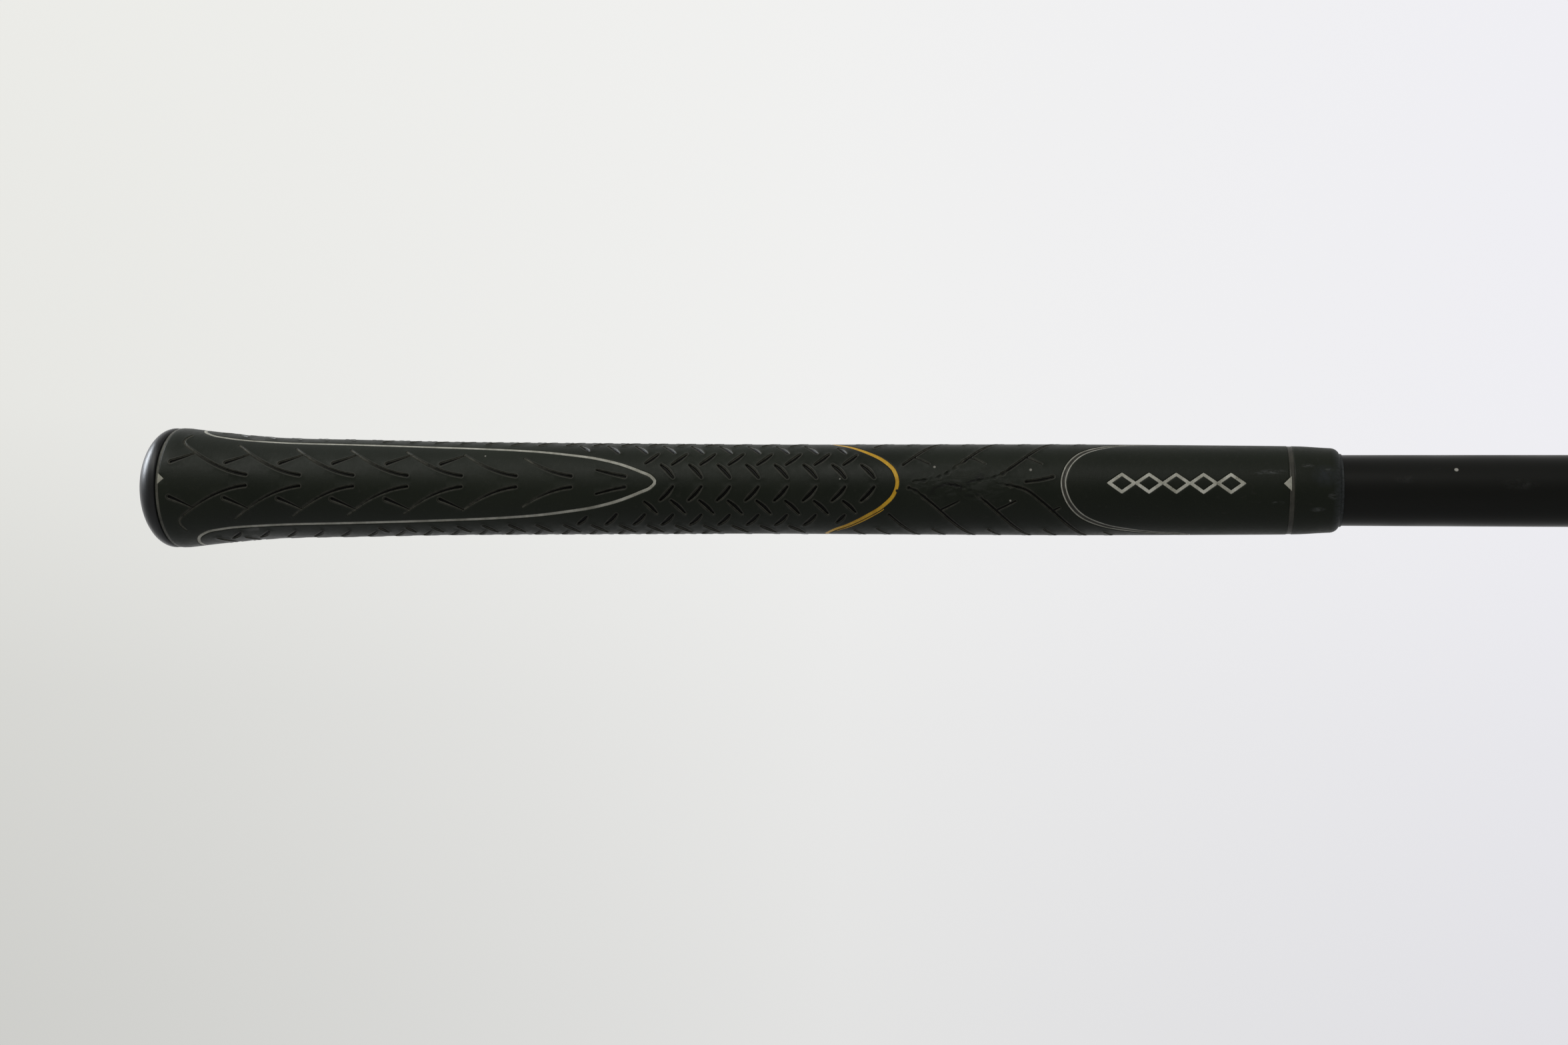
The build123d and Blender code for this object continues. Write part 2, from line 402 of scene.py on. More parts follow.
def long_strokes(worn):
    """Long slits that fan out towards the mouth, staggered above and below the centre line."""
    strokes = []
    pitch = 12.1
    run = [
        (0, 0.2), (3.4, 0.7), (6.4, 1.6), (9.2, 3.7), (12, 6.3), (14.3, 8.9), (16.3, 11.4), (18.2, 14.2),
        (20, 17.2),
    ]
    side_run = np.array([(0, 0), (1.1, 1.6), (2.3, 3.4)])
    for side, first_tip, first_side in ((-1, 149.35, 159.45), (1, 143.55, 165.95)):
        for k in range(6):
            tip = first_tip + pitch * k
            line = clipped(resample([(tip + along, w) for along, w in run], LINE_STEP), 2)
            if line is not None:
                line = line * (1, side)
                kept = unworn(line)
                ragged = 1 + 0.35 * np.sin(3.7 * line[:, 0]) * (kept < 0.99)
                half_width = taper(len(line), 0.32, 0.38) * ragged
                strokes.append(Stroke(line, half_width, 0.46 * (kept if worn else 1)))
                fork = [(tip + 11.9, 6.3), (tip + 13.8, 5.3), (tip + 15.8 - 0.4 * side, 4.2 + 0.2 * side)]
                fork = clipped(resample(fork, LINE_STEP), 2, shortest=1.8)
                if fork is not None:
                    fork = fork * (1, side)
                    depth = 0.4 * (unworn(fork) if worn else 1)
                    strokes.append(Stroke(fork, taper(len(fork), 0.34, 0.22), depth))
            short = clipped(resample(side_run + (first_side + pitch * k, 11.8), LINE_STEP), 2)
            if short is not None:
                strokes.append(Stroke(short * (1, side), 0.3, 0.42))
    return strokes


def ring_lines(middle):
    """Lines round the front half at a distance from the butt."""
    angles = np.radians(np.linspace(-FRONT_REACH, FRONT_REACH, FRONT_REACH + 1))

    def lines(offset):
        s = np.full(len(angles), middle + offset)
        return np.column_stack([s, angles * sleeve_radius(s)])

    return lines


def outline_lines(name):
    return lambda offset: front_part(*beside(*OUTLINES[name], offset))


def lozenge_lines(centre):
    """Lozenges round a centre, grown or shrunk by an offset."""
    inradius = LOZENGE_HALF.prod() / np.linalg.norm(LOZENGE_HALF)
    share = np.linspace(0, 1, 8, endpoint=False)[:, None]
    tips = np.array([(-1, 0), (0, -1), (1, 0), (0, 1), (-1, 0)])
    unit = np.vstack([a + (b - a) * share for a, b in zip(tips, tips[1:])])

    def lines(offset):
        return (centre, 0) + unit * LOZENGE_HALF * (1 + (offset - LOZENGE_LINE / 2) / inradius)

    return lines


def lozenge_centres():
    places = np.arange(LOZENGE_COUNT) - (LOZENGE_COUNT - 1) / 2
    return EMBLEM_CENTRE + LOZENGE_PITCH * places


def mark_corners(root, tip, half):
    """A triangle beside a ring, anticlockwise."""
    corners = [(root, half), (tip, 0), (root, -half)]
    return corners[::-1] if tip > root else corners


RINGS = {
    "cap": (sum(CAP_RING) / 2, (CAP_RING[1] - CAP_RING[0]) / 2, CAP_MARK_TIP, CAP_MARK_HALF),
    "mouth": (sum(MOUTH_RING) / 2, (MOUTH_RING[1] - MOUTH_RING[0]) / 2, MOUTH_MARK_TIP, MOUTH_MARK_HALF),
}


def round_recesses():
    """Recesses that run right round the sleeve."""
    found = [Band(outline_lines(name), WIDTHS[name] / 2, RECESS_DEPTH) for name in OUTLINES]
    for middle, half_width, _, _ in RINGS.values():
        found.append(Band(ring_lines(middle), half_width, RECESS_DEPTH))
    return found


def front_recesses():
    """Recesses that only the front has: the marks beside the rings, and the emblem."""
    found = [Patch(mark_corners(middle, tip, half), RECESS_DEPTH) for middle, _, tip, half in RINGS.values()]
    for centre in lozenge_centres():
        found.append(Band(lozenge_lines(centre), LOZENGE_LINE / 2, RECESS_DEPTH, closed=True))
    return found


# ---- meshes ----

def place(s, angle, radius):
    """Points in metres from distance, angle from the front and radius."""
    return np.column_stack([BUTT + s, -radius * np.cos(angle), radius * np.sin(angle)]) * MM


def make_piece(name, points, faces, **attributes):
    """A smooth object from points and faces, with a number at each point for each named attribute."""
    mesh = bpy.data.meshes.new(name)
    mesh.from_pydata(np.asarray(points).tolist(), [], [list(map(int, f)) for f in faces])
    mesh.validate()
    mesh.polygons.foreach_set("use_smooth", [True] * len(mesh.polygons))
    for label, values in attributes.items():
        layer = mesh.attributes.new(label, "FLOAT", "POINT")
        layer.data.foreach_set("value", np.asarray(values, np.float32))
    mesh.update()
    piece = bpy.data.objects.new(name, mesh)
    bpy.context.scene.collection.objects.link(piece)
    return piece


GRID_STEP = 1.3  # the plain rubber's mesh: millimetres along the sleeve
GRID_ANGLE = 6.0  # and degrees round it
ANGLE_SCALE = 0.18  # millimetres on the triangulation's plane for one degree
TURN_STEPS = 192  # points round a turned piece


def front_sheet(cuts):
    """Triangles over the front half that follow every cut: distances, angles, faces."""
    flat_points, links = [], []

    def add_line(points, closed):
        first = len(flat_points)
        degrees = np.degrees(points[:, 1] / sleeve_radius(points[:, 0]))
        flat_points.extend(zip(points[:, 0], degrees * ANGLE_SCALE))
        last = len(flat_points) - 1
        links.extend((i, i + 1) for i in range(first, last))
        if closed:
            links.append((last, first))

    for cut in cuts:
        for loop, closed in cut.loops():
            add_line(loop, closed)

    shoulder = MOUTH - MOUTH_LIP - MOUTH_RUN
    rows = np.concatenate([
        [SEAM, SEAM + 0.07, SEAM + SEAM_CHAMFER], np.arange(SEAM + GRID_STEP, shoulder - 0.3, GRID_STEP),
        shoulder + MOUTH_RUN * np.sin(np.radians([0, 18, 36, 54, 72, 90])), [MOUTH],
    ])
    columns = np.arange(-90, 90.01, GRID_ANGLE)
    grid = np.array([(s, a) for s in rows for a in columns])
    arcs = np.column_stack([grid[:, 0], np.radians(grid[:, 1]) * sleeve_radius(grid[:, 0])])
    clear = np.ones(len(grid), bool)
    for cut in cuts:
        found, _, reach = cut.sink(arcs)
        clear[found[reach < 1]] = False
    on_edge = (np.abs(grid[:, 1]) > 89.9) | (grid[:, 0] < SEAM + 0.01) | (grid[:, 0] > MOUTH - 0.01)
    for s, a in grid[clear & ~on_edge]:
        flat_points.append((s, a * ANGLE_SCALE))
    for edge in (-90, 90):
        first = len(flat_points)
        flat_points.extend((s, edge * ANGLE_SCALE) for s in rows)
        links.extend((i, i + 1) for i in range(first, len(flat_points) - 1))
    for end in (SEAM, MOUTH):
        flat_points.extend((end, a * ANGLE_SCALE) for a in np.arange(-88, 88.1, 2))

    triangulated = delaunay_2d_cdt([Vector(point) for point in flat_points], links, [], 0, 1e-4, False)
    flat = np.array(triangulated[0])
    faces = np.array(triangulated[2])
    limit = 90 * ANGLE_SCALE
    faces = faces[np.abs(flat[faces, 1].mean(axis=1)) < limit]
    used, faces = np.unique(faces, return_inverse=True)
    faces = faces.reshape(-1, 3)
    flat = flat[used]
    s = np.clip(flat[:, 0], SEAM, MOUTH)
    angle = np.radians(np.clip(flat[:, 1] / ANGLE_SCALE, -90, 90))
    return s, angle, faces


def depths(s, angle, cuts):
    """How far the cuts sink each point below the surface. Where cuts overlap, the strongest holds."""
    arcs = np.column_stack([s, angle * sleeve_radius(s)])
    depth = np.zeros(len(s))
    for cut in cuts:
        found, sunk, _ = cut.sink(arcs)
        stronger = np.abs(sunk) > np.abs(depth[found])
        depth[found[stronger]] = sunk[stronger]
    return depth


def sleeve_mesh():
    """The whole sleeve: the cut front, the back with the same tread unworn, and the bore and end faces."""
    shared = tongue_strokes() + slit_strokes() + round_recesses()
    cuts = shared + long_strokes(worn=True) + front_recesses()
    s, angle, front = front_sheet(cuts)
    depth = depths(s, angle, cuts)
    back_depth = depths(s, angle, shared + long_strokes(worn=False))
    # The back repeats the front's points, apart from those on the side lines, which the two share
    on_side = np.abs(np.abs(angle) - math.pi / 2) < 1e-5
    mirrored = np.where(on_side, np.arange(len(s)), 0)
    mirrored[~on_side] = len(s) + np.arange((~on_side).sum())
    back = mirrored[front][:, ::-1]
    s = np.concatenate([s, s[~on_side]])
    angle = np.concatenate([angle, math.pi - angle[~on_side]])
    depth = np.concatenate([depth, back_depth[~on_side]])
    points = [place(s, angle, sleeve_radius(s) - depth)]
    faces = [*front.tolist(), *back.tolist()]
    carved = [depth]

    def ring_at(distance):
        found = np.flatnonzero(np.abs(s - distance) < 1e-3)
        return found[np.argsort(angle[found] % math.tau)]

    seam_ring, mouth_ring = ring_at(SEAM), ring_at(MOUTH)
    total = len(s)
    last = mouth_ring
    # The end face, the bore in three stretches, and the groove for the cap's rib
    inner = [
        (MOUTH, BORE_RADIUS + 0.03), (MOUTH - 0.03, BORE_RADIUS), (MOUTH - 90, BORE_RADIUS),
        (MOUTH - 180, BORE_RADIUS), (SEAM, BORE_RADIUS), (SEAM, RIB_INNER), (SEAM + RIB_LENGTH, RIB_INNER),
        (SEAM + RIB_LENGTH, RIB_OUTER), (SEAM, RIB_OUTER),
    ]
    turns = angle[mouth_ring]
    for distance, radius in inner:
        ring = total + np.arange(len(turns))
        points.append(place(np.full(len(turns), distance), turns, radius))
        carved.append(np.zeros(len(turns)))
        total += len(turns)
        faces += quads(last, ring)
        last = ring
    faces += quads(last, seam_ring)
    return np.vstack(points), faces, np.concatenate(carved)


def quads(ring, following):
    """Faces between two closed rings of the same length."""
    a, b = np.array(ring), np.array(following)
    return np.column_stack([a, np.roll(a, -1), np.roll(b, -1), b]).tolist()


def numbered(rings):
    """The indices of the points of equal rings, one row for each ring."""
    return np.arange(len(rings) * len(rings[0])).reshape(len(rings), -1)


def stitched(rings, following):
    """Faces between each ring and the one that follows it."""
    return [face for pair in zip(rings, following) for face in quads(*pair)]


def lathe(name, profile):
    """A closed profile of (distance from the butt, radius) points turned about the axis."""
    turns = np.linspace(0, math.tau, TURN_STEPS, endpoint=False)
    points = [place(np.full(TURN_STEPS, s), turns, r) for s, r in profile]
    rings = numbered(points)
    return make_piece(name, np.vstack(points), stitched(np.roll(rings, -1, axis=0), rings))


def rolled(line):
    """Distances and angles of the points of a line on the unrolled sleeve."""
    return line[:, 0], line[:, 1] / sleeve_radius(line[:, 0])


def at_depths(loops, sinks):
    """Points of several loops (distance, angle), each at its depth below the surface."""
    return [place(s, angle, sleeve_radius(s) - sink) for (s, angle), sink in zip(loops, sinks)]


def tube_mesh(loops, sinks):
    """A closed ribbon whose cross section is the given loops at their depths."""
    points = at_depths(loops, sinks)
    rings = numbered(points)
    return np.vstack(points), stitched(rings, np.roll(rings, -1, axis=0))


def join_meshes(meshes):
    """One mesh from several, as points and faces."""
    points, faces = [], []
    for some_points, some_faces in meshes:
        first = sum(len(p) for p in points)
        points.append(some_points)
        faces += [[i + first for i in face] for face in some_faces]
    return np.vstack(points), faces


PAINT_LEVEL = 0.05  # the paint lies this far below the sleeve's surface
PAINT_GAP = 0.02  # between the paint and the walls and floor of its recess
PAINT_FLOOR = RECESS_DEPTH - PAINT_GAP


def ribbon_section(half_width):
    """Sideways offsets and depths round a paint fill, whose edges are rounded and whose top is hollow."""
    half = half_width - PAINT_GAP
    shape = [
        (-1, PAINT_FLOOR), (-1, PAINT_LEVEL + 0.05), (-0.86, PAINT_LEVEL), (-0.4, PAINT_LEVEL + 0.025),
        (0.4, PAINT_LEVEL + 0.025), (0.86, PAINT_LEVEL), (1, PAINT_LEVEL + 0.05), (1, PAINT_FLOOR),
    ]
    return [half * across for across, _ in shape], [sink for _, sink in shape]


def outline_paint(name):
    offsets, sinks = ribbon_section(WIDTHS[name] / 2)
    return tube_mesh([beside(*OUTLINES[name], offset) for offset in offsets], sinks)


# Section of the lower outline's paint: share of the half width, depth, and 1 where the paint is fresh
RUBBED_SECTION = [(-1, PAINT_FLOOR, 1), (-1, 0.1, 1), (-0.86, 0.04, 1), (-0.62, 0.06, 1), (-0.42, 0.17, 0)]


def rubbed_paint(name):
    """An outline whose paint is worn away along its middle: the mesh, and how fresh each point is."""
    section = RUBBED_SECTION + [(-across, sink, fresh) for across, sink, fresh in reversed(RUBBED_SECTION)]
    half = WIDTHS[name] / 2 - PAINT_GAP
    mesh = tube_mesh([beside(*OUTLINES[name], half * row[0]) for row in section], [row[1] for row in section])
    fresh = np.repeat([float(row[2]) for row in section], len(mesh[0]) // len(section))
    return mesh, fresh


def spilt_gold():
    """A second, thin line of gold that lies on the sleeve beside the lower end of the gold outline."""
    s, angle = beside(*OUTLINES["gold"], -0.68)
    degrees = np.degrees((angle + math.pi) % math.tau - math.pi)
    keep = (degrees > -76) & (degrees < -34)
    order = np.argsort(degrees[keep])
    s, angle = s[keep][order], np.radians(degrees[keep][order])
    line = np.column_stack([s, angle * sleeve_radius(s)])
    side = normals(line)
    reach = (0.17 * np.sin(np.linspace(0.15, math.pi - 0.3, len(line))) ** 0.5)[:, None]
    section = [(-1, 0.05), (-0.8, -0.01), (0, -0.05), (0.8, -0.01), (1, 0.05)]
    loops = [rolled(line + across * reach * side) for across, _ in section]
    rings = at_depths(loops, [sink for _, sink in section])
    rows = numbered(rings)
    faces = [rows[:, 0].tolist(), rows[::-1, -1].tolist()]
    for row, following in zip(rows, np.roll(rows, -1, axis=0)):
        faces += np.column_stack([row[:-1], row[1:], following[1:], following[:-1]]).tolist()
    return np.vstack(rings), faces


def ring_paint(middle, half_width):
    offsets, sinks = ribbon_section(half_width)
    turns = np.linspace(0, math.tau, TURN_STEPS, endpoint=False)
    return tube_mesh([(np.full(TURN_STEPS, middle + offset), turns) for offset in offsets], sinks)


def mark_paint(middle, tip, half_height):
    """A triangular prism that follows the sleeve."""
    patch = Patch(mark_corners(middle, tip, half_height), RECESS_DEPTH)
    share = np.linspace(0, 1, 10, endpoint=False)[:, None]
    rings, sinks = [], []
    for offset, sink in ((-0.1, PAINT_FLOOR), (-0.08, PAINT_LEVEL + 0.03), (-0.16, PAINT_LEVEL)):
        corners = patch.grown(offset)
        rings.append(np.vstack([a + (b - a) * share for a, b in zip(corners, np.roll(corners, -1, axis=0))]))
        sinks.append(sink)
    middle_point = rings[-1].mean(axis=0)
    for shrink in (0.6, 0.2):
        rings.append(middle_point + (rings[2] - middle_point) * shrink)
        sinks.append(PAINT_LEVEL)
    points = at_depths([rolled(ring) for ring in rings], sinks)
    order = numbered(rings)
    ends = [order[-1].tolist(), order[0][::-1].tolist()]
    return np.vstack(points), stitched(order, order[1:]) + ends


def emblem_paint():
    offsets, sinks = ribbon_section(LOZENGE_LINE / 2)
    meshes = []
    for centre in lozenge_centres():
        lines = lozenge_lines(centre)
        meshes.append(tube_mesh([rolled(lines(offset)) for offset in offsets], sinks))
    return join_meshes(meshes)


def cap_profile():
    """The cap's section: dome, seam edge, bonding rib and vented end wall."""
    depth, radius = 6.75, 13.9
    vent, sink, sink_depth, end_wall = 1.6, 2.7, 1.0, 4.5
    turns = np.linspace(math.asin(sink / radius), math.pi / 2, 56)
    dome = [(depth - depth * math.cos(turn), radius * math.sin(turn)) for turn in turns]
    return [
        (end_wall, vent), (sink_depth, vent), (sink_depth - 0.2, vent + 0.1), *dome,
        (SEAM - 0.5, CAP_RADIUS), (SEAM - 0.3, CAP_RADIUS - 0.07), (SEAM - 0.13, CAP_RADIUS - 0.22),
        (SEAM, CAP_RADIUS - SEAM_DEPTH), (SEAM, RIB_OUTER), (SEAM + RIB_LENGTH, RIB_OUTER),
        (SEAM + RIB_LENGTH, RIB_INNER), (SEAM, RIB_INNER), (SEAM, BORE_RADIUS), (end_wall, BORE_RADIUS),
    ]


def shaft_profile():
    """The tube's section, with a small chamfer at its free end."""
    wall, edge = 0.52, 0.08
    free_end = -BUTT
    bore = SHAFT_RADIUS - wall
    stations = np.linspace(SHAFT_START, free_end - edge, 24)
    outside = [(s, SHAFT_RADIUS) for s in stations]
    return [
        *outside, (free_end, SHAFT_RADIUS - edge), (free_end, bore + edge), (free_end - edge, bore),
        *[(s, bore) for s in stations[::-1]],
    ]


# ---- materials ----

def new_material(name, base, roughness, specular):
    """A material, with its node tree and its shader."""
    material = bpy.data.materials.new(name)
    material.use_nodes = True
    tree = material.node_tree
    shader = tree.nodes["Principled BSDF"]
    shader.inputs["Base Color"].default_value = (*base, 1)
    shader.inputs["Roughness"].default_value = roughness
    shader.inputs["Specular IOR Level"].default_value = specular
    return material, tree, shader


def node(tree, kind, inputs=(), **settings):
    """A new node. inputs maps its sockets to values or to sockets that are linked to them."""
    made = tree.nodes.new("ShaderNode" + kind)
    for label, value in settings.items():
        setattr(made, label, value)
    for label, value in dict(inputs).items():
        if isinstance(value, bpy.types.NodeSocket):
            tree.links.new(value, made.inputs[label])
        else:
            made.inputs[label].default_value = value
    return made


def noise(tree, vector, scale, detail, roughness=0.55, distortion=0.0):
    inputs = {"Vector": vector, "Scale": scale, "Detail": detail}
    inputs.update({"Roughness": roughness, "Distortion": distortion})
    return node(tree, "TexNoise", inputs).outputs["Fac"]


def remap(tree, value, low, high, to_low=0.0, to_high=1.0):
    inputs = {"Value": value, "From Min": low, "From Max": high, "To Min": to_low, "To Max": to_high}
    return node(tree, "MapRange", inputs).outputs["Result"]


def maths(tree, operation, first, second):
    return node(tree, "Math", {0: first, 1: second}, operation=operation).outputs[0]


def times(tree, first, second):
    return maths(tree, "MULTIPLY", first, second)


def blend(tree, first, share, second):
    """The sum of two factors, the first with a given share and the second with the rest."""
    return maths(tree, "ADD", times(tree, first, share), times(tree, second, 1 - share))


def bump(tree, height, distance, strength, normal=None):
    inputs = {"Height": height, "Distance": distance, "Strength": strength}
    if normal is not None:
        inputs["Normal"] = normal
    return node(tree, "Bump", inputs).outputs["Normal"]


def mix(tree, factor, first, second, kind="RGBA"):
    """Between two colours, or between two vectors. first and second are sockets or colours."""
    made = node(tree, "Mix", data_type=kind)
    sockets = [s for s in made.inputs if s.enabled]
    for socket, value in zip(sockets, (factor, first, second)):
        if isinstance(value, bpy.types.NodeSocket):
            tree.links.new(value, socket)
        elif isinstance(value, tuple):
            socket.default_value = (*value, 1)
        else:
            socket.default_value = value
    return next(s for s in made.outputs if s.enabled)


def object_place(tree):
    return node(tree, "TexCoord").outputs["Object"]


def on_surface(s, degrees, radius=None):
    """A point on the grip's surface, in metres, by distance from the butt and angle from the front."""
    radius = float(sleeve_radius(s)) if radius is None else radius
    return tuple(place(np.array([s]), math.radians(degrees), radius)[0])


def spots(tree, where, marks, blur, radius=None):
    """A factor that is 1 at each mark and fades out over an oval round it."""
    result = None
    for s, degrees, half_length, half_width in marks:
        centre = on_surface(s, degrees, radius)
        shifted = node(tree, "VectorMath", {0: where, 1: centre}, operation="SUBTRACT").outputs["Vector"]
        squeeze = (1 / (half_length * MM), 1 / (half_width * MM), 1 / (half_width * MM))
        scaled = node(tree, "VectorMath", {0: shifted, 1: squeeze}, operation="MULTIPLY").outputs["Vector"]
        away = node(tree, "VectorMath", {0: scaled}, operation="LENGTH").outputs["Value"]
        factor = remap(tree, away, 1, 1 - blur)
        result = factor if result is None else maths(tree, "MAXIMUM", result, factor)
    return result


def finish(tree, shader, colour, roughness, relief):
    """Links what a material's nodes have worked out to its shader."""
    tree.links.new(colour, shader.inputs["Base Color"])
    tree.links.new(roughness, shader.inputs["Roughness"])
    tree.links.new(relief, shader.inputs["Normal"])


# Marks on the surface: distance from the butt, degrees from the front, half length and half width
SCUFFS = [
    (255.9, 15.5, 3.2, 0.75), (263.1, 25.2, 1.6, 0.6), (265.1, -34.6, 1.9, 0.65), (268.3, -15.7, 1.3, 1.0),
    (256.9, -24.6, 1.6, 0.5), (252.5, 13, 1.6, 0.35), (267.5, 20, 1.2, 0.4),
]
PALE_PATCH = (266.6, 12, 3.2, 3.0)
SPECKS = [
    (184.3, 20.7, 0.34, 0.34), (205, 16.8, 0.36, 0.36), (200.7, -22.4, 0.28, 0.28), (163.8, 4.5, 0.22, 0.22),
    (83.4, 35.1, 0.24, 0.24),
]
SHAFT_CHIP = (293.6, 26.7, 0.5, 0.5)
SHAFT_SMUDGES = [(283.1, 10, 2.8, 1.1), (306, 2, 4.5, 1.4), (289.5, 30, 1.2, 0.5)]
GOLD_NICK = (176.3, -10.4, 0.42, 0.42)
WORN_PATCH = (189.5, 0, 15.0, 5.2)


def rubber():
    """Matte black-green rubber: moulded grain, worn smears on the lower panel, scuffs and dust specks, with
    painted highlights on the grooves' lips and walls and painted shade deep in the grooves.
    """
    material, tree, shader = new_material("grip_rubber", (0.0125, 0.0165, 0.009), 0.5, 0.3)
    where = object_place(tree)
    broad = noise(tree, where, 45, 4)
    fine = noise(tree, where, 900, 4, 0.6)
    grain = noise(tree, where, 5200, 3, 0.65)
    base = mix(tree, remap(tree, broad, 0.35, 0.68), (0.0098, 0.0134, 0.0068), (0.0152, 0.0196, 0.0108))
    base = mix(tree, remap(tree, fine, 0.58, 0.78, 0, 0.45), base, (0.034, 0.034, 0.027))

    streaked = node(tree, "Mapping", {"Vector": where, "Scale": (160, 420, 420)}).outputs["Vector"]
    smears = noise(tree, streaked, 1.0, 5, 0.68, 1.2)
    worn = spots(tree, where, [WORN_PATCH], 0.8)
    pale = times(tree, worn, remap(tree, smears, 0.5, 0.58, 0, 0.9))
    base = mix(tree, pale, base, (0.033, 0.036, 0.029))
    dark = times(tree, worn, remap(tree, smears, 0.44, 0.38, 0, 0.9))
    base = mix(tree, dark, base, (0.003, 0.003, 0.002))

    carved = node(tree, "Attribute", attribute_name="carved").outputs["Fac"]
    patchy = remap(tree, fine, 0.35, 0.6, 0.35, 1)
    # Raised lips beside the grooves get a paler colour: partly dust, partly a painted highlight of the lips
    # catching the light
    lip_dust_and_highlight = times(tree, remap(tree, carved, -0.006, -0.035), patchy)
    base = mix(tree, lip_dust_and_highlight, base, (0.055, 0.053, 0.042))
    # Painted highlight: the walls of the grooves are coloured pale as if lit from above, less so on the worn
    # patch
    painted_wall_highlight = times(tree, remap(tree, carved, 0.03, 0.1), times(tree, patchy, remap(tree, worn, 0.5, 0.05)))
    base = mix(tree, painted_wall_highlight, base, (0.13, 0.126, 0.1))
    # Painted shade: the deep parts of the grooves are coloured near black
    base = mix(tree, remap(tree, carved, 0.17, 0.36), base, (0.003, 0.003, 0.002))

    hazy = times(tree, spots(tree, where, [PALE_PATCH], 1), remap(tree, fine, 0.2, 0.6))
    base = mix(tree, hazy, base, (0.03, 0.036, 0.041))
    scratches = node(tree, "Mapping", {"Vector": where, "Scale": (500, 1900, 1900)}).outputs["Vector"]
    scratched = noise(tree, scratches, 1.0, 4, 0.7)
    scuffed = times(tree, spots(tree, where, SCUFFS, 0.9), remap(tree, scratched, 0.42, 0.62))
    base = mix(tree, scuffed, base, (0.11, 0.115, 0.112))
    x = node(tree, "SeparateXYZ", {0: where}).outputs["X"]
    rim = remap(tree, x, (BUTT + MOUTH - 2.4) * MM, (BUTT + MOUTH - 0.5) * MM, 0, 0.8)
    rim = times(tree, rim, remap(tree, scratched, 0.3, 0.6, 0.25, 1))
    base = mix(tree, rim, base, (0.08, 0.088, 0.094))
    base = mix(tree, spots(tree, where, SPECKS, 0.5), base, (0.35, 0.34, 0.3))

    matte = remap(tree, blend(tree, broad, 0.6, fine), 0.35, 0.65, 0.42, 0.58)
    plain = node(tree, "NewGeometry").outputs["Normal"]
    relief = mix(tree, worn, plain, bump(tree, smears, 0.00025, 0.5), "VECTOR")
    relief = bump(tree, fine, 0.00005, 0.6, relief)
    relief = bump(tree, grain, 0.00002, 0.8, relief)
    finish(tree, shader, base, matte, relief)
    return material


def cap_rubber():
    """Smoother, glossier rubber, polished by handling."""
    material, tree, shader = new_material("cap_rubber", (0.012, 0.0125, 0.013), 0.36, 0.5)
    where = object_place(tree)
    broad = noise(tree, where, 120, 4)
    fine = noise(tree, where, 2600, 3, 0.6)
    base = mix(tree, remap(tree, broad, 0.4, 0.65), (0.010, 0.0102, 0.0105), (0.018, 0.0185, 0.019))
    base = mix(tree, remap(tree, fine, 0.62, 0.8, 0, 0.5), base, (0.05, 0.05, 0.048))
    finish(tree, shader, base, remap(tree, broad, 0.35, 0.65, 0.3, 0.42), bump(tree, fine, 0.00003, 0.35))
    return material


def worn_paint(name, fresh, rubbed, wear, faded=None, nick=None):
    """Paint with dirt in it, rubbed through in places.

    faded is its colour where the fresh attribute is 0, and nick is a spot where it is missing."""
    material, tree, shader = new_material(name, fresh, 0.45, 0.5)
    where = object_place(tree)
    patches = noise(tree, where, 260, 5, 0.65)
    flecks = noise(tree, where, 2400, 4, 0.6)
    base = mix(tree, remap(tree, patches, 0.38, 0.66), fresh, rubbed)
    dirt = remap(tree, blend(tree, patches, 0.55, flecks), 1 - wear, 1.1 - wear, 0, 0.8)
    base = mix(tree, dirt, base, (0.03, 0.03, 0.022))
    if faded is not None:
        kept = node(tree, "Attribute", attribute_name="fresh").outputs["Fac"]
        dull = mix(tree, remap(tree, patches, 0.4, 0.62), faded, tuple(0.45 * value for value in faded))
        base = mix(tree, kept, dull, base)
    if nick is not None:
        base = mix(tree, spots(tree, where, [nick], 0.4), base, (0.01, 0.009, 0.007))
    finish(tree, shader, base, remap(tree, flecks, 0.3, 0.7, 0.35, 0.6), bump(tree, flecks, 0.00004, 0.6))
    return material


def shaft_finish():
    """Glossy black coating with dust, a few smudges and one chip."""
    material, tree, shader = new_material("shaft_finish", (0.011, 0.011, 0.009), 0.38, 0.25)
    where = object_place(tree)
    broad = noise(tree, where, 60, 4)
    dust = noise(tree, where, 1800, 5, 0.7)
    base = mix(tree, remap(tree, dust, 0.66, 0.8, 0, 0.6), (0.0105, 0.0108, 0.0086), (0.045, 0.044, 0.039))
    smears = noise(tree, where, 700, 4, 0.7)
    smudges = spots(tree, where, SHAFT_SMUDGES, 0.9, SHAFT_RADIUS)
    smudged = times(tree, smudges, remap(tree, smears, 0.42, 0.66, 0, 0.7))
    base = mix(tree, smudged, base, (0.045, 0.045, 0.043))
    base = mix(tree, spots(tree, where, [SHAFT_CHIP], 0.4, SHAFT_RADIUS), base, (0.55, 0.53, 0.48))
    finish(tree, shader, base, remap(tree, broad, 0.35, 0.65, 0.34, 0.44), bump(tree, dust, 0.00001, 0.3))
    return material


def crepe_tape():
    """Cream paper tape, finely creased across its length."""
    material, tree, shader = new_material("tape_paper", (0.68, 0.6, 0.42), 0.8, 0.3)
    where = object_place(tree)
    stretched = node(tree, "Mapping", {"Vector": where, "Scale": (900, 160, 160)}).outputs["Vector"]
    crinkle = noise(tree, stretched, 1.0, 4, 0.6)
    base = mix(tree, crinkle, (0.58, 0.5, 0.33), (0.74, 0.67, 0.5))
    finish(tree, shader, base, remap(tree, crinkle, 0.3, 0.7, 0.7, 0.9), bump(tree, crinkle, 0.00005, 0.8))
    return material


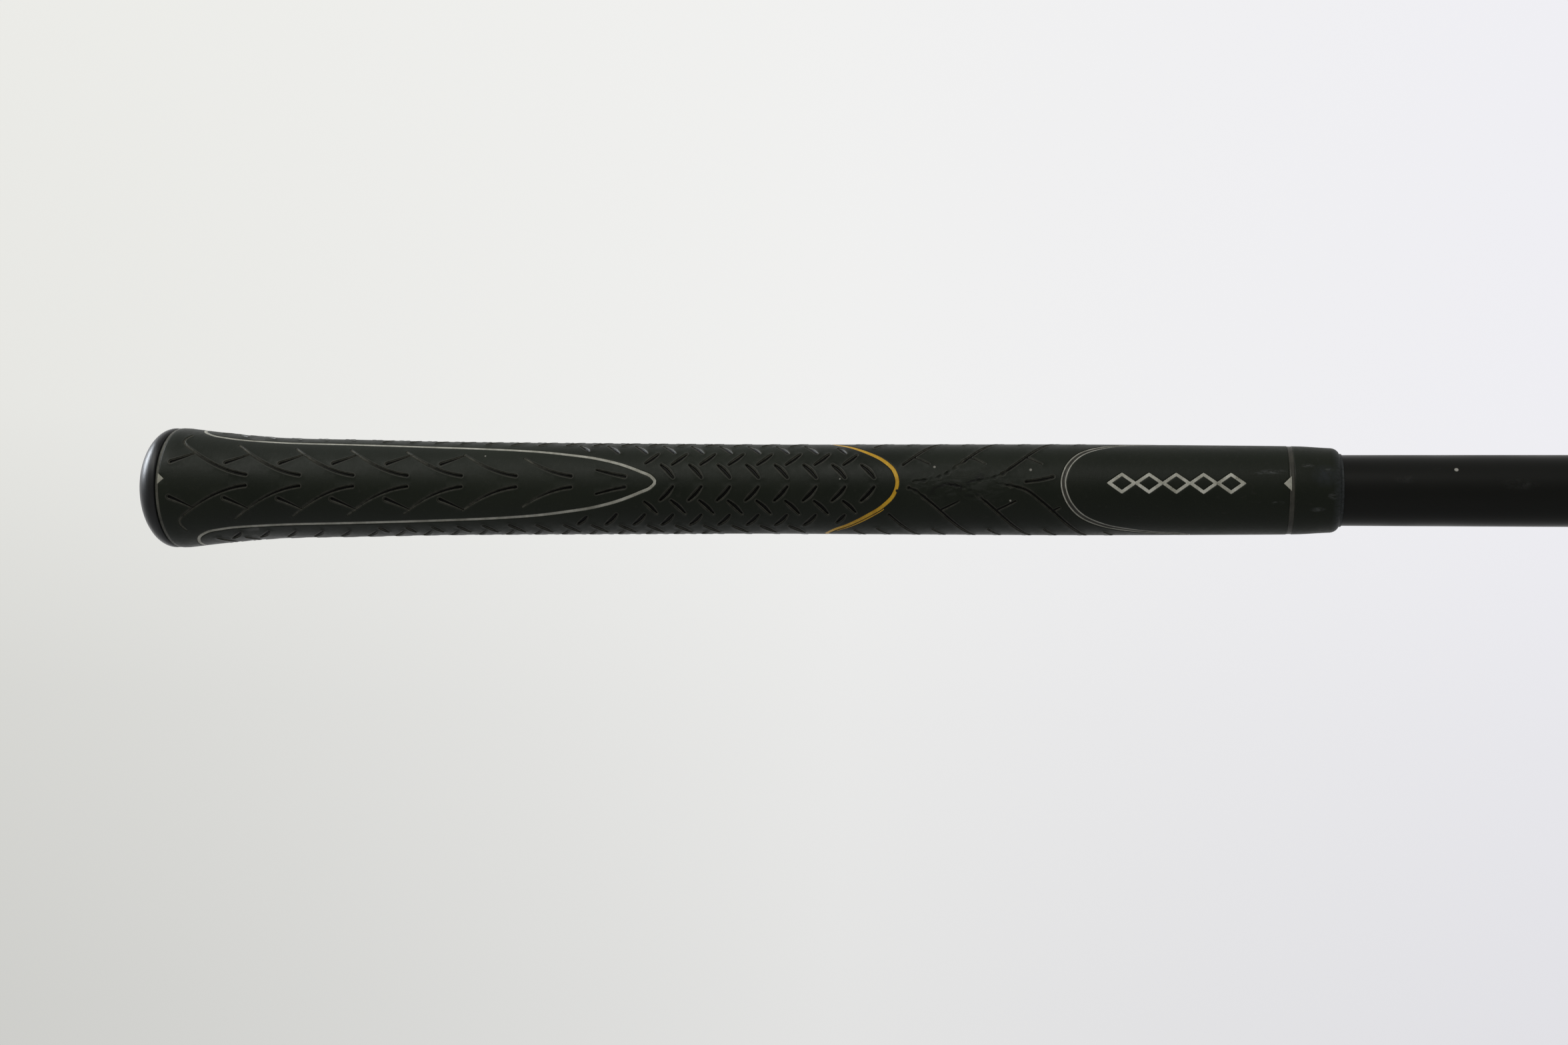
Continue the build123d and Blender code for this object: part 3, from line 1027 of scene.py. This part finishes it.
def dress(piece, material, cad_node):
    """Gives a piece its material and its body, and hides the CAD node that it stands for."""
    piece.data.materials.clear()
    piece.data.materials.append(material)
    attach(piece, "root")
    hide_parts(cad_node)


def build_grip():
    points, faces, carved = sleeve_mesh()
    dress(make_piece("sleeve", points, faces, carved=carved), rubber(), "grip_sleeve")
    dress(lathe("cap", cap_profile()), cap_rubber(), "butt_cap")
    dress(lathe("shaft", shaft_profile()), shaft_finish(), "shaft_butt_section")
    faded = (0.055, 0.052, 0.038)
    cream = worn_paint("cream_paint", (0.62, 0.61, 0.53), (0.34, 0.33, 0.27), 0.38)
    rubbed = worn_paint("rubbed_paint", (0.62, 0.61, 0.54), (0.32, 0.315, 0.26), 0.4, faded)
    ring = worn_paint("ring_paint", (0.62, 0.61, 0.52), (0.34, 0.335, 0.27), 0.42, faded)
    gold = worn_paint("gold_paint", (0.95, 0.55, 0.025), (0.62, 0.31, 0.01), 0.32, nick=GOLD_NICK)
    white = worn_paint("emblem_paint", (0.85, 0.84, 0.74), (0.45, 0.44, 0.36), 0.42)
    outline = make_piece("upper_outline", *outline_paint("upper"))
    dress(outline, cream, "upper_outline_paint")
    outline = make_piece("gold_outline", *join_meshes([outline_paint("gold"), spilt_gold()]))
    dress(outline, gold, "gold_outline_paint")
    mesh, fresh = rubbed_paint("lower")
    dress(make_piece("lower_outline", *mesh, fresh=fresh), rubbed, "lower_outline_paint")
    for name, (middle, half_width, tip, half_height) in RINGS.items():
        band, mark = ring_paint(middle, half_width), mark_paint(middle, tip, half_height)
        kept = {"cap": 0.16, "mouth": 0.03}[name]
        fresh = [kept] * len(band[0]) + [1.0] * len(mark[0])
        piece = make_piece(name + "_ring", *join_meshes([band, mark]), fresh=fresh)
        dress(piece, ring, name + "_ring_paint")
    dress(make_piece("emblem", *emblem_paint()), white, "emblem_paint")
    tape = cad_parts["grip_tape"]
    tape.data.materials.clear()
    tape.data.materials.append(crepe_tape())


# ---- camera, light and floor ----

LOOK = Vector((-0.1495, 0.9797, 0.1342)).normalized()
UP = Vector((-0.0048, -0.1357, 0.9907)).normalized()
AIM_FROM_BUTT = 150.05
AIM_DROP = 7.44
CAMERA_DISTANCE = 0.454
LENS = 46.68
FLOOR_DROP = 0.6


def make_camera():
    camera = bpy.data.cameras.new("camera")
    camera.lens = LENS
    camera.sensor_width = 36
    camera.clip_start = 0.01
    piece = bpy.data.objects.new("camera", camera)
    bpy.context.scene.collection.objects.link(piece)
    aim = Vector(((BUTT + AIM_FROM_BUTT) * MM, 0, 0)) - UP * AIM_DROP * MM
    right = LOOK.cross(UP).normalized()
    up = right.cross(LOOK)
    turn = Matrix((right, up, -LOOK)).transposed().to_4x4()
    piece.matrix_world = Matrix.Translation(aim - LOOK * CAMERA_DISTANCE) @ turn
    bpy.context.scene.camera = piece


def area_light(name, stand, aim, size, energy, colour):
    light = bpy.data.lights.new(name, "AREA")
    light.shape = "RECTANGLE"
    light.size, light.size_y = size
    light.energy = energy
    light.color = colour
    piece = bpy.data.objects.new(name, light)
    piece.location = stand
    piece.rotation_euler = (aim - stand).to_track_quat("-Z", "Y").to_euler()
    bpy.context.scene.collection.objects.link(piece)


def make_lights():
    butt = Vector((BUTT * MM, 0, 0))
    area_light("key_above", MIDDLE + Vector((-0.35, -0.62, 0.56)), MIDDLE, (1.1, 0.4), 2.6, (1, 1, 0.95))
    area_light("side_strip", MIDDLE + Vector((-0.85, 0.1, 0.33)), butt, (0.28, 0.34), 5, (0.88, 0.93, 1))


BACKDROP = (-0.25, 0.97, 0.05)  # the way to the bright backdrop behind the grip

# Stops of the gradients of the room: position and grey level
GLOW = [(0, 0), (0.5, 0), (0.75, 0.14), (0.88, 0.5), (1, 0.85)]  # round the backdrop
CEILING = [(0, 0.07), (0.5, 0.16), (0.8, 0.22), (1, 0.26)]  # from below to above
WALL = [(0, 0.7), (0.4, 0.768), (0.54, 0.815), (0.67, 0.87), (0.88, 0.88), (1, 0.88)]  # seen by the camera
LEFT_WALL = [(0, 0.52), (0.4, 0.615), (0.54, 0.68), (0.67, 0.795), (0.88, 0.84), (1, 0.84)]
WARM, NEUTRAL, COOL = (1, 1, 0.962), (1, 1, 0.988), (0.985, 0.98, 1.03)  # the seen wall from left to right


def grey_ramp(tree, position, stops):
    """A grey that follows stops of (position, grey level)."""
    ramp = node(tree, "ValToRGB", {"Fac": position})
    points = ramp.color_ramp.elements
    while len(points) < len(stops):
        points.new(0.5)
    for point, (at, grey) in zip(points, stops):
        point.position = at
        point.color = (grey, grey, grey, 1)
    return ramp.outputs["Color"]


def make_world():
    """What lights the grip is a dim room with a bright backdrop. What is seen is an even pale wall."""
    world = bpy.data.worlds.new("studio")
    bpy.context.scene.world = world
    world.use_nodes = True
    tree = world.node_tree
    seen = tree.nodes["Background"]
    ray = node(tree, "TexCoord").outputs["Generated"]
    parts = node(tree, "SeparateXYZ", {0: ray}).outputs
    toward = node(tree, "VectorMath", {0: ray, 1: BACKDROP}, operation="DOT_PRODUCT").outputs["Value"]
    glow = grey_ramp(tree, remap(tree, toward, -1, 1), GLOW)
    ceiling = grey_ramp(tree, remap(tree, parts["Z"], -1, 1), CEILING)
    room = node(tree, "VectorMath", {0: glow, 1: ceiling}, operation="ADD").outputs["Vector"]
    lit = node(tree, "Background", {"Color": room})
    height = remap(tree, parts["Z"], -0.5, 0.5)
    leftness = remap(tree, parts["X"], -0.12, -0.5)
    wall = mix(tree, leftness, grey_ramp(tree, height, WALL), grey_ramp(tree, height, LEFT_WALL))
    tint = mix(tree, remap(tree, parts["X"], -0.5, -0.15), WARM, NEUTRAL)
    tint = mix(tree, remap(tree, parts["X"], -0.15, 0.25), tint, COOL)
    painted = node(tree, "VectorMath", {0: wall, 1: tint}, operation="MULTIPLY").outputs["Vector"]
    tree.links.new(painted, seen.inputs["Color"])
    switch = node(tree, "MixShader", {0: node(tree, "LightPath").outputs["Is Camera Ray"]})
    tree.links.new(lit.outputs[0], switch.inputs[1])
    tree.links.new(seen.outputs[0], switch.inputs[2])
    tree.links.new(switch.outputs[0], tree.nodes["World Output"].inputs["Surface"])


def make_floor():
    """A pale floor below the grip that fades into the wall."""
    size = 4.0
    below = MIDDLE - Vector((0, 0, FLOOR_DROP))
    corners = [(-size, -size, 0), (size, -size, 0), (size, size, 0), (-size, size, 0)]
    mesh = bpy.data.meshes.new("floor")
    mesh.from_pydata([below + Vector(corner) for corner in corners], [], [(0, 1, 2, 3)])
    floor = bpy.data.objects.new("floor", mesh)
    bpy.context.scene.collection.objects.link(floor)
    material, tree, shader = new_material("floor", (0.8, 0.8, 0.8), 0.7, 0.2)
    where = node(tree, "NewGeometry").outputs["Position"]
    away = node(tree, "VectorMath", {0: where, 1: below}, operation="DISTANCE").outputs["Value"]
    faded = remap(tree, away, 0.5, 2.5, 0.55, 1)
    clear = node(tree, "BsdfTransparent")
    fade = node(tree, "MixShader", {0: faded, 1: shader.outputs[0], 2: clear.outputs[0]})
    tree.links.new(fade.outputs[0], tree.nodes["Material Output"].inputs["Surface"])
    mesh.materials.append(material)


bpy.context.scene.view_settings.view_transform = "Standard"
make_camera()
make_world()
make_lights()
make_floor()
build_grip()
